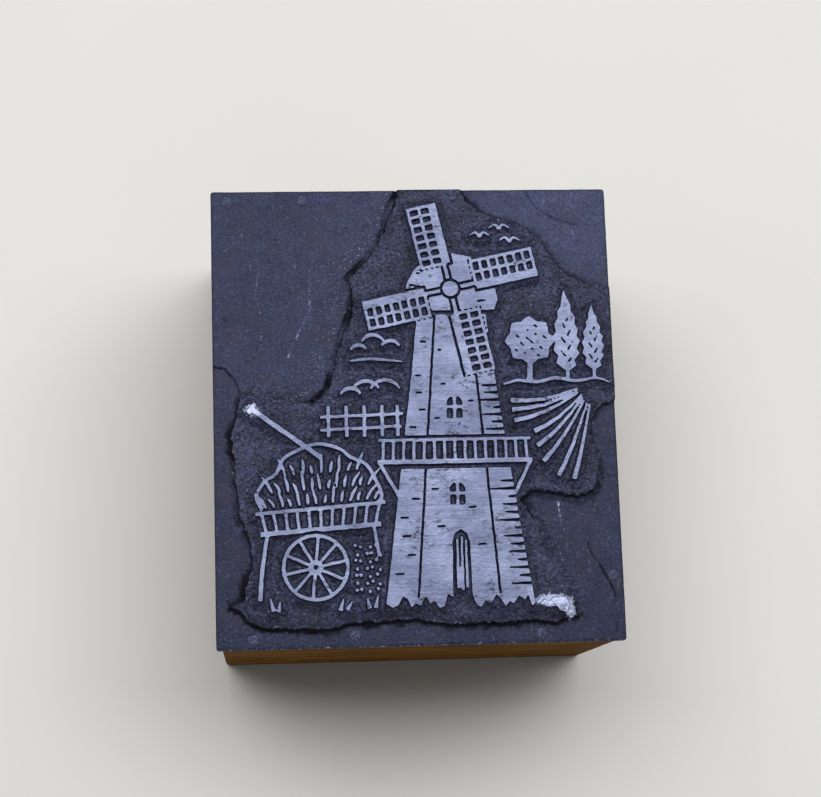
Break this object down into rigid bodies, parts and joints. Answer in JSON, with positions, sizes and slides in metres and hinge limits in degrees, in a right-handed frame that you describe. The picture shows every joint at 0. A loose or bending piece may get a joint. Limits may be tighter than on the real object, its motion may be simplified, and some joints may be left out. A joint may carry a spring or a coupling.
{
  "type": "letterpress printing block",
  "caption": "Type-high printing block: an etched and routed metal relief plate with a farm scene, pinned by small brads to a rectangular wood base.",
  "frame": {"origin": "on the underside of the wood base, below the middle of the plate", "axes": "+Z out of the printing face, +Y to the top of the picture, +X to its right as the block is looked at"},
  "size_m": [0.0318, 0.0364, 0.0233],
  "materials": {
    "plate_metal": "etched zinc, inked dark in the floors, worn bright on the printing surfaces",
    "base_wood": "sawn and sanded, aged, with ink stains",
    "brad_steel": "hammered flat and darkened by ink"
  },
  "bodies": {
    "root": {"printing_plate": "plate_metal", "wood_base": "base_wood", "brad_back_left": "brad_steel", "brad_back_middle": "brad_steel", "brad_front_left": "brad_steel", "brad_front_middle": "brad_steel", "brad_front_right": "brad_steel", "brad_right": "brad_steel"}
  },
  "joints": []
}
